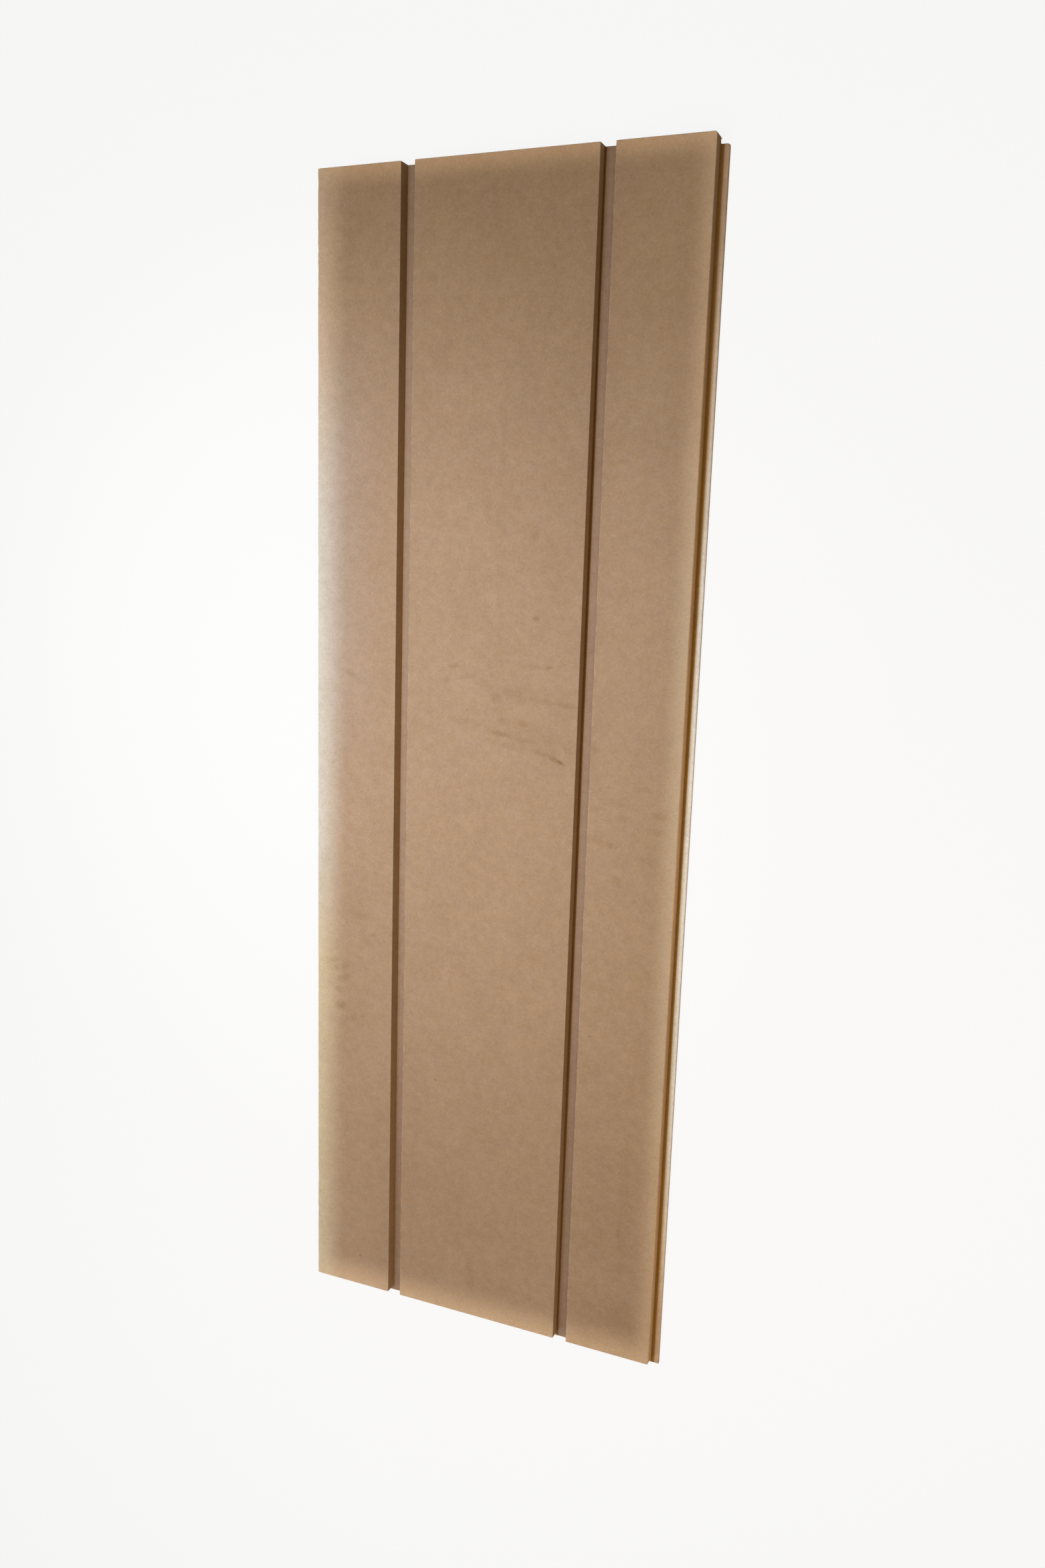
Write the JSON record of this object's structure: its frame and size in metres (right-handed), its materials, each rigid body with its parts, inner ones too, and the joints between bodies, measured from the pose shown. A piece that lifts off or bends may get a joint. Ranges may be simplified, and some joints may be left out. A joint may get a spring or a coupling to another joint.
{
  "type": "grooved fibreboard sheet",
  "caption": "Flat fibreboard wall sheet with square full-length grooves in its face, a thin lip along one long edge and the foot, and a rebate behind the other long edge, so sheets lap side by side.",
  "frame": {"origin": "middle of the flat back, at the centre of the overall width and length, both with their lip", "axes": "+X across the sheet towards the edge with the lip, +Y along the grooves towards the end where the lip stops short, +Z out of the grooved face"},
  "size_m": [0.612, 1.81, 0.028],
  "materials": {
    "raw_fibreboard": "bare medium density fibreboard, sanded face and machined grooves"
  },
  "bodies": {
    "root": {"sheet": "raw_fibreboard"}
  },
  "joints": []
}
